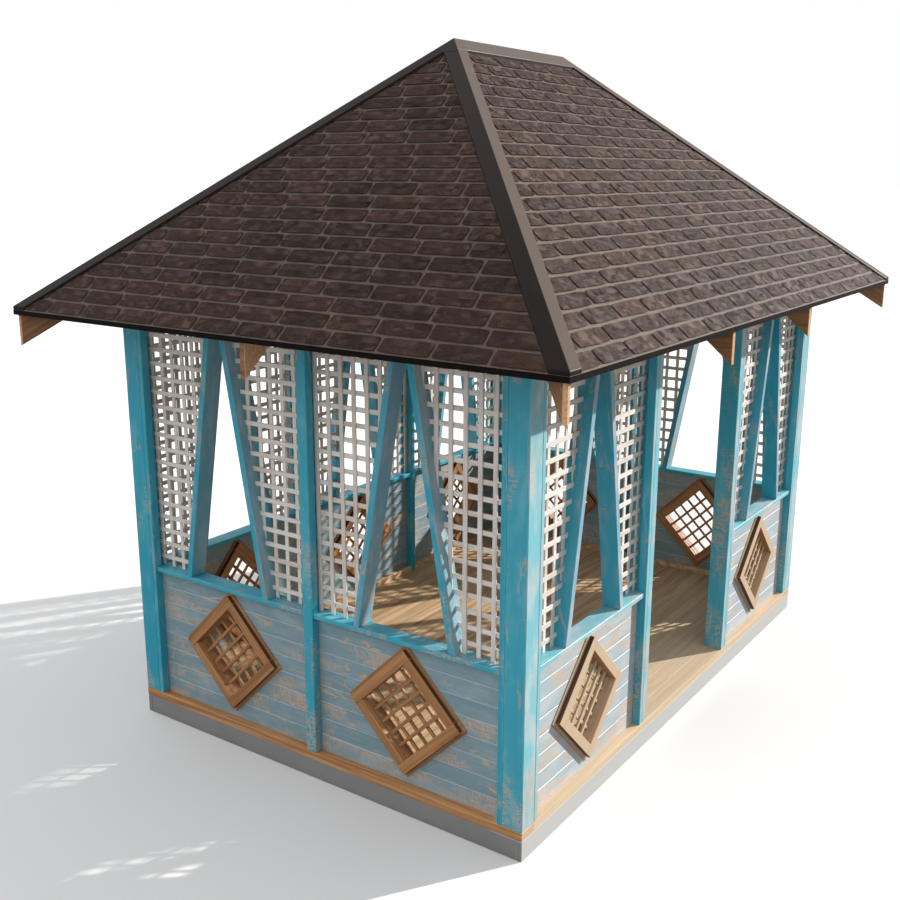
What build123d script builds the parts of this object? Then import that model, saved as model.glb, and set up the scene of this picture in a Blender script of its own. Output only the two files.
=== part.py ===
from build123d import *
from math import cos, radians, sqrt, tan
import os

# A timber bandstand: a boarded deck on a plinth, walls of panels with diamond windows below
# and trellis above, and a hipped roof. Millimetres, Z up, length along X. The doorway faces -Y.

# Overall frame, measured over the outer faces of the posts
frame_length = 3510
frame_width = 2400

# Plinth and deck
plinth_height = 98
plinth_board = 27
joist_width = 45
joist_count = 5
deck_thickness = 42

# Posts
post = 104
door_post_width = 50
doorway_width = 1038
middle_post_face = 60
middle_post_web = 28
stop_width = 26
stop_depth = 44
wall_height = 2090

# Lower panels and their diamond windows
sill_height = 722
sill_thickness = 24
sill_setback = 10
panel_thickness = 22
panel_batten = 38
window_side = 440
window_face = 50
window_proud = 32
window_height = 365
grille_bars = 4
grille_bar = 16

# Trellis: uprights and rails in each half of a bay
lath_width = 28
lath_thickness = 12
lath_setback = 56
upright_count = 7
upright_clearance = 4
rail_count = 18
rail_foot = 51
rail_head = 65

# Slanted boards over the sill: width is measured level, and the outer foot stands against
# the upright that has this number from the middle of the bay
slant_width = 34.5
slant_head_gap = 30
slant_foot_upright = 4

# Roof
plate_height = 130
eave_overhang = 364
roof_pitch = 39.7
roof_thickness = 18
rafter_thickness = 30
rafter_plumb_depth = 170
rafter_notch = 30
rafter_tail_setback = 15
ridge_board_depth = 220
cap_thickness = 14
hip_cap_half_width = 60
ridge_cap_half_width = 72
ridge_cap_overrun = 90

# Levels and reaches that follow
deck_top = plinth_height + deck_thickness
sill_top = deck_top + sill_height
sill_bottom = sill_top - sill_thickness
plate_bottom = deck_top + wall_height
plate_top = plate_bottom + plate_height
half_length = frame_length / 2
half_width = frame_width / 2
long_bay = half_length - post - door_post_width - doorway_width / 2
long_bay_centre = half_length - post - long_bay / 2
end_bay = half_width - post - middle_post_web / 2
end_bay_centre = half_width - post - end_bay / 2
middle_reach = (middle_post_face - middle_post_web) / 2
window_opening = window_side - 2 * window_face
window_level = deck_top + window_height
grille_pitch = window_opening / (grille_bars + 1)
grille_layer = panel_thickness / 2
wall_rise = plate_bottom - sill_top
slant_head = slant_head_gap / 2 + slant_width
rail_pitch = (wall_rise - rail_foot - rail_head) / (rail_count - 1)
fixing_rails = (0, rail_count // 2, rail_count - 1)
other_rails = [row for row in range(rail_count) if row not in fixing_rails]
pitch_rise = tan(radians(roof_pitch))
eave_x = half_length + eave_overhang
eave_y = half_width + eave_overhang
ridge_half = eave_x - eave_y
roof_drop = roof_thickness / cos(radians(roof_pitch))
cap_rise = cap_thickness / cos(radians(roof_pitch))
under_eave = plate_top - rafter_notch + rafter_plumb_depth - eave_overhang * pitch_rise
under_ridge = under_eave + eave_y * pitch_rise
eave_height = under_eave + roof_drop
ridge_height = under_ridge + roof_drop

# Each wall: its outer face, seen from outside with X to the right and Y up, and its bays as
# name, centre, width, and how far the stops reach into the bay at its left and right
front_bays = (
    ("left", -long_bay_centre, long_bay, stop_width, stop_width),
    ("right", long_bay_centre, long_bay, stop_width, stop_width),
)
back_bays = (
    ("right", -long_bay_centre, long_bay, stop_width, stop_width),
    ("middle", 0, doorway_width, stop_width, stop_width),
    ("left", long_bay_centre, long_bay, stop_width, stop_width),
)
left_end_bays = (
    ("back", -end_bay_centre, end_bay, stop_width, middle_reach),
    ("front", end_bay_centre, end_bay, middle_reach, stop_width),
)
right_end_bays = (
    ("front", -end_bay_centre, end_bay, stop_width, middle_reach),
    ("back", end_bay_centre, end_bay, middle_reach, stop_width),
)
front_face = Plane((0, -half_width, 0), x_dir=(1, 0, 0), z_dir=(0, -1, 0))
back_face = Plane((0, half_width, 0), x_dir=(-1, 0, 0), z_dir=(0, 1, 0))
left_face = Plane((-half_length, 0, 0), x_dir=(0, -1, 0), z_dir=(-1, 0, 0))
right_face = Plane((half_length, 0, 0), x_dir=(0, 1, 0), z_dir=(1, 0, 0))
walls = (
    ("front", front_face, front_bays),
    ("back", back_face, back_bays),
    ("left_end", left_face, left_end_bays),
    ("right_end", right_face, right_end_bays),
)
long_walls = walls[:2]
end_walls = walls[2:]


def level(face, height):
    """A horizontal plane along a wall: X along the wall, Y into the building."""
    return Plane(face.origin + Vector(0, 0, height), x_dir=face.x_dir, z_dir=(0, 0, 1))


def inside(face, depth):
    """A plane parallel to a wall's outer face, this far into the building."""
    return face.offset(-depth)


def placed(face, centre, height):
    """The place on a wall's outer face of what is drawn with X along it, Y up and Z outward."""
    return face.location * Pos(centre, height, 0)


def upright_pitch(width):
    """The spacing of the trellis's uprights in a bay of this width."""
    return (width / 2 - lath_width / 2 - upright_clearance) / upright_count


def slant_foot(width):
    """The distance of a slanted board's outer foot from the middle of a bay."""
    return slant_foot_upright * upright_pitch(width) - lath_width / 2


def slant_reach(foot, height):
    """How far a slanted board's outer side is from the bay's middle, this high over the sill."""
    return foot - (foot - slant_head) * height / wall_rise


def slant_height(foot, reach):
    """How high over the sill a slanted board's outer side is, this far from the bay's middle."""
    return max(0, (foot - reach) / (foot - slant_head) * wall_rise)


def bay_trellis(width, rails_outside, rows, with_uprights):
    """A bay's trellis on both sides of its slanted boards: X along the wall, Y up from the
    sill, Z outward from the wall's outer face."""
    foot = slant_foot(width)
    upright_level = -lath_setback - lath_thickness * (2 if rails_outside else 1)
    rail_level = -lath_setback - lath_thickness * (1 if rails_outside else 2)
    with BuildPart() as trellis:
        if with_uprights:
            with BuildSketch(Plane.XY.offset(upright_level)):
                for n in range(1, upright_count + 1):
                    near = n * upright_pitch(width) - lath_width / 2
                    far = near + lath_width
                    Polygon(
                        (near, slant_height(foot, near)),
                        (far, slant_height(foot, far)),
                        (far, wall_rise),
                        (near, wall_rise),
                        align=None,
                    )
            extrude(amount=lath_thickness)
        with BuildSketch(Plane.XY.offset(rail_level)):
            for row in rows:
                low = rail_foot + row * rail_pitch - lath_width / 2
                high = low + lath_width
                Polygon(
                    (slant_reach(foot, low), low),
                    (width / 2, low),
                    (width / 2, high),
                    (slant_reach(foot, high), high),
                    align=None,
                )
        extrude(amount=lath_thickness)
        mirror(about=Plane.YZ)
    return trellis.part


def underside(run):
    """The height of the roof's underside at a plan distance from the ridge or its end."""
    return under_ridge - run * pitch_rise


def hipped_block(eave_level):
    """A solid hipped block over the whole plan, with its eaves at a level."""
    ridge_level = eave_level + eave_y * pitch_rise
    with BuildPart() as block:
        with BuildSketch(Plane.YZ):
            Polygon(
                (-eave_y, 0),
                (-eave_y, eave_level),
                (0, ridge_level),
                (eave_y, eave_level),
                (eave_y, 0),
                align=None,
            )
        extrude(amount=eave_x, both=True)
        with BuildSketch(Plane.XZ):
            Polygon(
                (-eave_x, 0),
                (-eave_x, eave_level),
                (-ridge_half, ridge_level),
                (ridge_half, ridge_level),
                (eave_x, eave_level),
                (eave_x, 0),
                align=None,
            )
        extrude(amount=eave_y, both=True, mode=Mode.INTERSECT)
    return block.part


os.makedirs("parts", exist_ok=True)

# Plinth: the long boards run through and cover the ends of the short ones
with BuildPart() as plinth_long_boards:
    with BuildSketch(Plane.XY):
        with Locations((0, -half_width + plinth_board / 2), (0, half_width - plinth_board / 2)):
            Rectangle(frame_length, plinth_board)
    extrude(amount=plinth_height)
plinth_long_boards.part.label = "plinth_long_boards"
export_step(plinth_long_boards.part, "parts/plinth_long_boards.step")

plinth_inner = frame_width - 2 * plinth_board
with BuildPart() as plinth_end_boards:
    with BuildSketch(Plane.XY):
        with Locations((-half_length + plinth_board / 2, 0), (half_length - plinth_board / 2, 0)):
            Rectangle(plinth_board, plinth_inner)
    extrude(amount=plinth_height)
plinth_end_boards.part.label = "plinth_end_boards"
export_step(plinth_end_boards.part, "parts/plinth_end_boards.step")

# Joists across the plinth carry the deck, which runs out to the plinth's faces
joist_pitch = frame_length / (joist_count + 1)
with BuildPart() as floor_joists:
    with BuildSketch(Plane.XY):
        with GridLocations(joist_pitch, 1, joist_count, 1):
            Rectangle(joist_width, plinth_inner)
    extrude(amount=plinth_height)
floor_joists.part.label = "floor_joists"
export_step(floor_joists.part, "parts/floor_joists.step")

with BuildPart() as deck_boards:
    with BuildSketch(Plane.XY.offset(plinth_height)):
        Rectangle(frame_length, frame_width)
    extrude(amount=deck_thickness)
deck_boards.part.label = "deck_boards"
export_step(deck_boards.part, "parts/deck_boards.step")

# Posts stand on the deck, their outer faces flush with its edge
with BuildPart() as corner_posts:
    with BuildSketch(Plane.XY.offset(deck_top)):
        with GridLocations(frame_length - post, frame_width - post, 2, 2):
            Rectangle(post, post)
    extrude(amount=wall_height)
corner_posts.part.label = "corner_posts"
export_step(corner_posts.part, "parts/corner_posts.step")

# A middle post has a broad outer face and a narrow web, which leaves a rebate on each side
# for the panels and the trellis
with BuildPart() as end_middle_posts:
    for wall_name, face, bays in end_walls:
        with BuildSketch(level(face, deck_top)):
            with Locations((0, stop_depth / 2)):
                Rectangle(middle_post_face, stop_depth)
            with Locations((0, post / 2)):
                Rectangle(middle_post_web, post)
        extrude(amount=wall_height)
end_middle_posts.part.label = "end_middle_posts"
export_step(end_middle_posts.part, "parts/end_middle_posts.step")

door_post_pitch = doorway_width + door_post_width
with BuildPart() as door_posts:
    with BuildSketch(level(front_face, deck_top)):
        with Locations((-door_post_pitch / 2, post / 2), (door_post_pitch / 2, post / 2)):
            Rectangle(door_post_width, post)
    extrude(amount=wall_height)
door_posts.part.label = "door_posts"
export_step(door_posts.part, "parts/door_posts.step")

with BuildPart() as back_posts:
    with BuildSketch(level(back_face, deck_top)):
        with Locations((-door_post_pitch / 2, post / 2), (door_post_pitch / 2, post / 2)):
            Rectangle(door_post_width, post)
    extrude(amount=wall_height)
back_posts.part.label = "back_posts"
export_step(back_posts.part, "parts/back_posts.step")

# Stops: battens on the sides of the posts, flush with their outer faces. A middle post's
# broad face is its own stop
with BuildPart() as long_side_stops:
    for wall_name, face, bays in long_walls:
        with BuildSketch(level(face, deck_top)):
            for bay_name, centre, width, left_reach, right_reach in bays:
                left_at = centre - width / 2 + left_reach / 2
                right_at = centre + width / 2 - right_reach / 2
                with Locations((left_at, stop_depth / 2)):
                    Rectangle(left_reach, stop_depth)
                with Locations((right_at, stop_depth / 2)):
                    Rectangle(right_reach, stop_depth)
        extrude(amount=wall_height)
long_side_stops.part.label = "long_side_stops"
export_step(long_side_stops.part, "parts/long_side_stops.step")

end_stop_at = half_width - post - stop_width / 2
with BuildPart() as end_stops:
    for wall_name, face, bays in end_walls:
        with BuildSketch(level(face, deck_top)):
            with Locations((-end_stop_at, stop_depth / 2), (end_stop_at, stop_depth / 2)):
                Rectangle(stop_width, stop_depth)
        extrude(amount=wall_height)
end_stops.part.label = "end_stops"
export_step(end_stops.part, "parts/end_stops.step")

# Lower panels: one to a bay, behind the stops, with a diamond hole
for wall_name, face, bays in walls:
    with BuildPart() as panels:
        with BuildSketch(inside(face, stop_depth + panel_thickness)):
            for bay_name, centre, width, left_reach, right_reach in bays:
                with Locations((centre, (deck_top + sill_bottom) / 2)):
                    Rectangle(width, sill_bottom - deck_top)
                with Locations((centre, window_level)):
                    Rectangle(window_opening, window_opening, rotation=45, mode=Mode.SUBTRACT)
        extrude(amount=panel_thickness)
    panels.part.label = f"{wall_name}_panels"
    export_step(panels.part, f"parts/{wall_name}_panels.step")

# A batten on the deck holds the foot of each panel from inside
with BuildPart() as panel_battens:
    for wall_name, face, bays in walls:
        with BuildSketch(level(face, deck_top)):
            for bay_name, centre, width, left_reach, right_reach in bays:
                with Locations((centre, stop_depth + panel_thickness + panel_batten / 2)):
                    Rectangle(width, panel_batten)
        extrude(amount=panel_batten)
panel_battens.part.label = "panel_battens"
export_step(panel_battens.part, "parts/panel_battens.step")

# Diamond windows: a square frame on edge outside the panel and another inside it
window_places = []
for wall_name, face, bays in walls:
    for bay_name, centre, width, left_reach, right_reach in bays:
        window_places.append(placed(face, centre, window_level))

with BuildPart() as window_frame:
    with BuildSketch(Plane.XY):
        Rectangle(window_side, window_side, rotation=45)
        Rectangle(window_opening, window_opening, rotation=45, mode=Mode.SUBTRACT)
    extrude(amount=window_proud)

with BuildPart() as outer_window_frames:
    with Locations([place * Pos(0, 0, -stop_depth) for place in window_places]):
        add(window_frame.part)
outer_window_frames.part.label = "outer_window_frames"
export_step(outer_window_frames.part, "parts/outer_window_frames.step")

inner_frame_depth = stop_depth + panel_thickness + window_proud
with BuildPart() as inner_window_frames:
    with Locations([place * Pos(0, 0, -inner_frame_depth) for place in window_places]):
        add(window_frame.part)
inner_window_frames.part.label = "inner_window_frames"
export_step(inner_window_frames.part, "parts/inner_window_frames.step")

# Grilles fill the panel's thickness: rising bars outside, falling bars behind them
bar_offsets = [(n - (grille_bars - 1) / 2) * grille_pitch for n in range(grille_bars)]
with BuildPart() as grille:
    with BuildSketch(Plane.XY.offset(-stop_depth - grille_layer)):
        with Locations(Location((0, 0, 0), 45)):
            with Locations([(0, offset) for offset in bar_offsets]):
                Rectangle(window_opening, grille_bar)
    extrude(amount=grille_layer)
    with BuildSketch(Plane.XY.offset(-stop_depth - panel_thickness)):
        with Locations(Location((0, 0, 0), 45)):
            with Locations([(offset, 0) for offset in bar_offsets]):
                Rectangle(grille_bar, window_opening)
    extrude(amount=grille_layer)

with BuildPart() as window_grilles:
    with Locations(window_places):
        add(grille.part)
window_grilles.part.label = "window_grilles"
export_step(window_grilles.part, "parts/window_grilles.step")

# Sills cap the panels and are notched around the stops
for group_name, group in (("long_side", long_walls), ("end", end_walls)):
    with BuildPart() as sills:
        for wall_name, face, bays in group:
            with BuildSketch(level(face, sill_bottom)):
                for bay_name, centre, width, left_reach, right_reach in bays:
                    with Locations((centre, (sill_setback + post) / 2)):
                        Rectangle(width, post - sill_setback)
                    with Locations((centre - width / 2 + left_reach / 2, stop_depth / 2)):
                        Rectangle(left_reach, stop_depth, mode=Mode.SUBTRACT)
                    with Locations((centre + width / 2 - right_reach / 2, stop_depth / 2)):
                        Rectangle(right_reach, stop_depth, mode=Mode.SUBTRACT)
            extrude(amount=sill_thickness)
    sills.part.label = f"{group_name}_sills"
    export_step(sills.part, f"parts/{group_name}_sills.step")

# Slanted boards stand on edge on the sill and lean together under the wall plate
for group_name, group in (("long_side", long_walls), ("end", end_walls)):
    with BuildPart() as slanted_boards:
        for wall_name, face, bays in group:
            with BuildSketch(inside(face, post)):
                for bay_name, centre, width, left_reach, right_reach in bays:
                    foot = slant_foot(width)
                    for side in (-1, 1):
                        Polygon(
                            (centre + side * (foot - slant_width), sill_top),
                            (centre + side * foot, sill_top),
                            (centre + side * slant_head, plate_bottom),
                            (centre + side * (slant_head - slant_width), plate_bottom),
                            align=None,
                        )
            extrude(amount=post - sill_setback)
    slanted_boards.part.label = f"{group_name}_slanted_boards"
    export_step(slanted_boards.part, f"parts/{group_name}_slanted_boards.step")

# Trellis: uprights with the rails that fix them, fused where they cross, and the rails
# between. The rails lie inside the uprights in the front bays of the ends, outside elsewhere
uprights_made = {}
rails_made = {}
for width, rails_outside in ((long_bay, 1), (doorway_width, 1), (end_bay, 1), (end_bay, 0)):
    uprights_made[width, rails_outside] = bay_trellis(width, rails_outside, fixing_rails, True)
    rails_made[width, rails_outside] = bay_trellis(width, rails_outside, other_rails, False)

for wall_name, face, bays in walls:
    for made, node_name in ((uprights_made, "trellis"), (rails_made, "trellis_rails")):
        with BuildPart() as trellis:
            for bay_name, centre, width, left_reach, right_reach in bays:
                rails_outside = int(bay_name != "front")
                with Locations(placed(face, centre, sill_top)):
                    add(made[width, rails_outside])
        trellis.part.label = f"{wall_name}_{node_name}"
        export_step(trellis.part, f"parts/{wall_name}_{node_name}.step")

# Wall plates on the posts
with BuildPart() as long_wall_plates:
    with BuildSketch(Plane.XY.offset(plate_bottom)):
        with GridLocations(1, frame_width - post, 1, 2):
            Rectangle(frame_length, post)
    extrude(amount=plate_height)
long_wall_plates.part.label = "long_wall_plates"
export_step(long_wall_plates.part, "parts/long_wall_plates.step")

with BuildPart() as end_wall_plates:
    with BuildSketch(Plane.XY.offset(plate_bottom)):
        with GridLocations(frame_length - post, 1, 2, 1):
            Rectangle(post, frame_width - 2 * post)
    extrude(amount=plate_height)
end_wall_plates.part.label = "end_wall_plates"
export_step(end_wall_plates.part, "parts/end_wall_plates.step")

# Roof: a hipped shell, cut in plan along the hips into its four slopes
slopes = (
    ("roof_front", ((-eave_x, -eave_y), (eave_x, -eave_y), (ridge_half, 0), (-ridge_half, 0))),
    ("roof_back", ((eave_x, eave_y), (-eave_x, eave_y), (-ridge_half, 0), (ridge_half, 0))),
    ("roof_left_end", ((-eave_x, eave_y), (-eave_x, -eave_y), (-ridge_half, 0))),
    ("roof_right_end", ((eave_x, -eave_y), (eave_x, eave_y), (ridge_half, 0))),
)
roof_space = hipped_block(under_eave)
roof_block = hipped_block(eave_height)
cap_block = hipped_block(eave_height + cap_rise)
for slope_name, outline in slopes:
    with BuildPart() as slope:
        with BuildSketch(Plane.XY):
            Polygon(*outline, align=None)
        extrude(amount=2 * ridge_height)
        add(roof_block, mode=Mode.INTERSECT)
        add(roof_space, mode=Mode.SUBTRACT)
    slope.part.label = slope_name
    export_step(slope.part, f"parts/{slope_name}.step")

# Ridge board, its top bevelled to the slopes
ridge_board_length = 2 * ridge_half + rafter_thickness
with BuildPart() as ridge_board:
    with BuildSketch(Plane.XY.offset(under_ridge - ridge_board_depth)):
        Rectangle(ridge_board_length, rafter_thickness)
    extrude(amount=ridge_board_depth)
    add(roof_space, mode=Mode.INTERSECT)
ridge_board.part.label = "ridge_board"
export_step(ridge_board.part, "parts/ridge_board.step")

# Common rafters: four meet the faces of the ridge board and two its ends. Each is notched
# over the wall plate and cut plumb at the eaves
butt = rafter_thickness / 2
tail = eave_y - rafter_tail_setback
rafter_planes = (
    Plane((-ridge_half, 0, 0), x_dir=(0, -1, 0), z_dir=(-1, 0, 0)),
    Plane((ridge_half, 0, 0), x_dir=(0, -1, 0), z_dir=(-1, 0, 0)),
    Plane((-ridge_half, 0, 0), x_dir=(0, 1, 0), z_dir=(1, 0, 0)),
    Plane((ridge_half, 0, 0), x_dir=(0, 1, 0), z_dir=(1, 0, 0)),
    Plane((-ridge_half, 0, 0), x_dir=(-1, 0, 0), z_dir=(0, 1, 0)),
    Plane((ridge_half, 0, 0), x_dir=(1, 0, 0), z_dir=(0, -1, 0)),
)
with BuildPart() as common_rafters:
    for plane in rafter_planes:
        with BuildSketch(plane):
            Polygon(
                (butt, underside(butt)),
                (butt, underside(butt) - rafter_plumb_depth),
                (tail, underside(tail) - rafter_plumb_depth),
                (tail, underside(tail)),
                align=None,
            )
        extrude(amount=rafter_thickness / 2, both=True)
    with BuildSketch(Plane.XY):
        Rectangle(frame_length, frame_width)
    extrude(amount=plate_top, mode=Mode.SUBTRACT)
common_rafters.part.label = "common_rafters"
export_step(common_rafters.part, "parts/common_rafters.step")

# Hip rafters: their tops are bevelled to both slopes, and their upper ends fit the corner
# between a common rafter and the end one
hip_tail = sqrt(2) * eave_y
hip_reach_x = eave_x - rafter_tail_setback - ridge_half - butt
hip_reach_y = tail - butt
with BuildPart() as hip_rafters:
    for along in (-1, 1):
        for across in (-1, 1):
            with BuildSketch(
                Plane((along * ridge_half, 0, 0), x_dir=(along, across, 0), z_dir=(across, -along, 0))
            ):
                Polygon(
                    (0, under_ridge),
                    (0, under_ridge - rafter_plumb_depth),
                    (hip_tail, under_eave - rafter_plumb_depth),
                    (hip_tail, under_eave),
                    align=None,
                )
            extrude(amount=rafter_thickness / 2, both=True)
    add(roof_space, mode=Mode.INTERSECT)
    with BuildSketch(Plane.XY):
        with GridLocations(2 * (ridge_half + butt) + hip_reach_x, 2 * butt + hip_reach_y, 2, 2):
            Rectangle(hip_reach_x, hip_reach_y)
    extrude(amount=ridge_height, mode=Mode.INTERSECT)
    with BuildSketch(Plane.XY):
        Rectangle(frame_length, frame_width)
    extrude(amount=plate_top, mode=Mode.SUBTRACT)
hip_rafters.part.label = "hip_rafters"
export_step(hip_rafters.part, "parts/hip_rafters.step")

# Caps over the hips and the ridge, bent to the slopes on either side
ridge_cap_length = 2 * (ridge_half + ridge_cap_overrun)
with BuildPart() as ridge_cap:
    with BuildSketch(Plane.XY):
        Rectangle(ridge_cap_length, 2 * ridge_cap_half_width)
    extrude(amount=2 * ridge_height)
    add(cap_block, mode=Mode.INTERSECT)
    add(roof_block, mode=Mode.SUBTRACT)
ridge_cap.part.label = "ridge_cap"
export_step(ridge_cap.part, "parts/ridge_cap.step")

with BuildPart() as hip_caps:
    with BuildSketch(Plane.XY):
        for along in (-1, 1):
            for across in (-1, 1):
                middle = (along * (ridge_half + eave_y / 2), across * eave_y / 2, 0)
                with Locations(Location(middle, 45 * along * across)):
                    Rectangle(hip_tail, 2 * hip_cap_half_width)
        Rectangle(ridge_cap_length, 2 * ridge_cap_half_width, mode=Mode.SUBTRACT)
    extrude(amount=2 * ridge_height)
    add(cap_block, mode=Mode.INTERSECT)
    add(roof_block, mode=Mode.SUBTRACT)
hip_caps.part.label = "hip_caps"
export_step(hip_caps.part, "parts/hip_caps.step")
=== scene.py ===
# %% [markdown]
# # A painted timber bandstand under a brick-patterned hipped roof
# The CAD frame gives every post, sill, trellis and roof slope at its true size. This lesson
# dresses that frame: planks for the deck, boards for the panels, jointed window frames,
# raised bricks on the roof, eased edges on the timber, and paint, stain and grit as
# materials. One unit is a metre, X runs along the long side, and the doorway faces -Y.

# %% Load the frame
import math
import random

import bpy
import numpy as np
from mathutils import Matrix, Vector


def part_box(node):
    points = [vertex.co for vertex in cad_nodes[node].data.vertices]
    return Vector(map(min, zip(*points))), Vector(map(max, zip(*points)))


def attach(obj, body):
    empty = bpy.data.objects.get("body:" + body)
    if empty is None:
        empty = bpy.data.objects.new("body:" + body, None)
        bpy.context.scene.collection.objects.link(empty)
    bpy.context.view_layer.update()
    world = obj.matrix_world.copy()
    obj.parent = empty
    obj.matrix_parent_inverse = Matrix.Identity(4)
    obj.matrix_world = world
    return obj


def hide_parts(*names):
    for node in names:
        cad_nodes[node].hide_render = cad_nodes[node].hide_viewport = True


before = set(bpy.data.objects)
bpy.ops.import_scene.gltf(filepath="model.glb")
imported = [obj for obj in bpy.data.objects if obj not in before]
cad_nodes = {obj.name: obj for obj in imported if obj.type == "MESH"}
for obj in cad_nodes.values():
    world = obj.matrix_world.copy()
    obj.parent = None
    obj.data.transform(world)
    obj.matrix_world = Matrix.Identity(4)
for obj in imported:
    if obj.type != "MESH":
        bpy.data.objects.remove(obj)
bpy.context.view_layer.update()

# %% [markdown]
# ## Tools for timber
# An operator works on everything that is selected, so each step first selects its own piece
# and nothing else. A piece that the frame already shapes well is copied, its loose
# triangles are merged back into whole faces, and its sharp corners are eased with a small
# bevel, as a plane or sandpaper leaves them: a dead sharp edge catches no light.

# %% Choosing a piece and easing its edges
def choose(*pieces):
    """Selects these pieces and nothing else, and makes the first one active."""
    if bpy.context.mode != "OBJECT":
        bpy.ops.object.mode_set(mode="OBJECT")
    bpy.ops.object.select_all(action="DESELECT")
    for piece in pieces:
        piece.select_set(True)
    bpy.context.view_layer.objects.active = pieces[0]
    return pieces[0]


def apply_all(piece):
    """Turns every modifier on the piece into mesh."""
    choose(piece)
    for modifier in list(piece.modifiers):
        bpy.ops.object.modifier_apply(modifier=modifier.name)


def ease(piece, width, segments=1):
    """Bevels the sharp edges of a piece."""
    bevel = piece.modifiers.new("eased_edges", "BEVEL")
    bevel.width = width
    bevel.segments = segments
    bevel.limit_method = "ANGLE"
    bevel.angle_limit = math.radians(25)
    apply_all(piece)


def saw_off(piece, point, outward):
    """Cuts a piece along a plane, takes away what is outside it, and closes the cuts."""
    choose(piece)
    bpy.ops.object.mode_set(mode="EDIT")
    bpy.ops.mesh.select_all(action="SELECT")
    bpy.ops.mesh.bisect(plane_co=point, plane_no=outward, use_fill=True, clear_outer=True)
    bpy.ops.object.mode_set(mode="OBJECT")


def copy_of_node(node, name):
    """A copy of a CAD node as whole faces, free to be shaped."""
    piece = bpy.data.objects.new(name, cad_nodes[node].data.copy())
    bpy.context.scene.collection.objects.link(piece)
    piece.data.materials.clear()
    choose(piece)
    if piece.data.has_custom_normals:
        bpy.ops.mesh.customdata_custom_splitnormals_clear()
    bpy.ops.object.mode_set(mode="EDIT")
    bpy.ops.mesh.select_all(action="SELECT")
    bpy.ops.mesh.remove_doubles(threshold=0.00005)
    bpy.ops.mesh.dissolve_limited(angle_limit=math.radians(0.5))
    bpy.ops.mesh.faces_shade_flat()
    bpy.ops.object.mode_set(mode="OBJECT")
    return piece


# %% A planed stick, and copies of it set in place
def stick(name, size, edge=0.002):
    """A cube at the stick's size, its arrises eased, centred on the origin."""
    bpy.ops.object.select_all(action="DESELECT")
    bpy.ops.mesh.primitive_cube_add(size=1)
    piece = bpy.context.object
    piece.name = name
    piece.scale = size
    bpy.ops.object.transform_apply(scale=True)
    bpy.ops.object.mode_set(mode="EDIT")
    bpy.ops.mesh.select_all(action="SELECT")
    bpy.ops.mesh.bevel(offset=edge, segments=1, affect="EDGES")
    bpy.ops.object.mode_set(mode="OBJECT")
    return piece


def set_out(name, patterns_and_places):
    """Copies each pattern to its place with a mesh of its own, and joins the copies. A join
    forgets which finish a face takes, so each face carries it along as an attribute."""
    copies = []
    for pattern, place in patterns_and_places:
        copy = bpy.data.objects.new(name, pattern.data.copy())
        bpy.context.scene.collection.objects.link(copy)
        copy.data.transform(place)
        finishes = [face.material_index for face in copy.data.polygons]
        copy.data.attributes.new("finish", "INT", "FACE").data.foreach_set("value", finishes)
        copies.append(copy)
    choose(*copies)
    if len(copies) > 1:
        bpy.ops.object.join()
    made = copies[0]
    made.name = name
    carried = made.data.attributes["finish"]
    finishes = [face.value for face in carried.data]
    made.data.attributes.remove(carried)
    made.data.polygons.foreach_set("material_index", finishes)
    return made


def put_away(*patterns):
    """Removes the patterns once their copies are made."""
    for pattern in patterns:
        bpy.data.objects.remove(pattern)


def moved(x, y, z):
    """The matrix that moves a copy this far from the origin."""
    return Matrix.Translation((x, y, z))


def turned(degrees):
    """The matrix that turns a copy about the Z axis."""
    return Matrix.Rotation(math.radians(degrees), 4, "Z")


def along_axes(x_axis, y_axis, z_axis, origin):
    """The matrix that lays a drawing along three axes, from an origin."""
    return Matrix((*zip(x_axis, y_axis, z_axis, origin), (0, 0, 0, 1)))


# %% [markdown]
# ## Where each wall and each bay is
# A wall is easiest to build on as if it lay on a bench: X along it, Y up it and Z out of it.
# A matrix then stands each piece up in its place. The CAD frame's boxes give the
# outer faces, so the walls always follow it.

# %% The walls' benches and their bays
post = 0.104
door_post = 0.050
middle_web = 0.028
post_low, post_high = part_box("corner_posts")
half_length, half_width = post_high.x, post_high.y
deck_top = post_low.z
panel_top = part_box("long_side_sills")[0].z
panel_low, panel_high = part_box("front_panels")
panel_face = half_width + panel_low.y
panel_back = half_width + panel_high.y
doorway = 1.038


def bench(outward, along):
    """The matrix that stands a drawing up as a wall facing outward."""
    reach = half_length if outward.x else half_width
    return along_axes(along, Vector((0, 0, 1)), outward, outward * reach)


walls = {
    "front": bench(Vector((0, -1, 0)), Vector((1, 0, 0))),
    "back": bench(Vector((0, 1, 0)), Vector((-1, 0, 0))),
    "left_end": bench(Vector((-1, 0, 0)), Vector((0, -1, 0))),
    "right_end": bench(Vector((1, 0, 0)), Vector((0, 1, 0))),
}
long_bay = half_length - post - door_post - doorway / 2
long_centre = half_length - post - long_bay / 2
end_bay = half_width - post - middle_web / 2
end_centre = half_width - post - end_bay / 2
bays = {
    "front": [(-long_centre, long_bay), (long_centre, long_bay)],
    "back": [(-long_centre, long_bay), (0.0, doorway), (long_centre, long_bay)],
    "left_end": [(-end_centre, end_bay), (end_centre, end_bay)],
    "right_end": [(-end_centre, end_bay), (end_centre, end_bay)],
}
window_height = deck_top + 0.365
print("bays", {wall: len(found) for wall, found in bays.items()}, "long bay", round(long_bay, 3))

# %% [markdown]
# ## Grain that follows each board
# A pattern in world coordinates runs the same way through every piece, and real grain
# runs along each board. So every separate board in a mesh is found, the direction in
# which it is longest is taken from its points, and each point keeps how far it is along,
# across and through its board. A random start stops two boards from looking alike.

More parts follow.
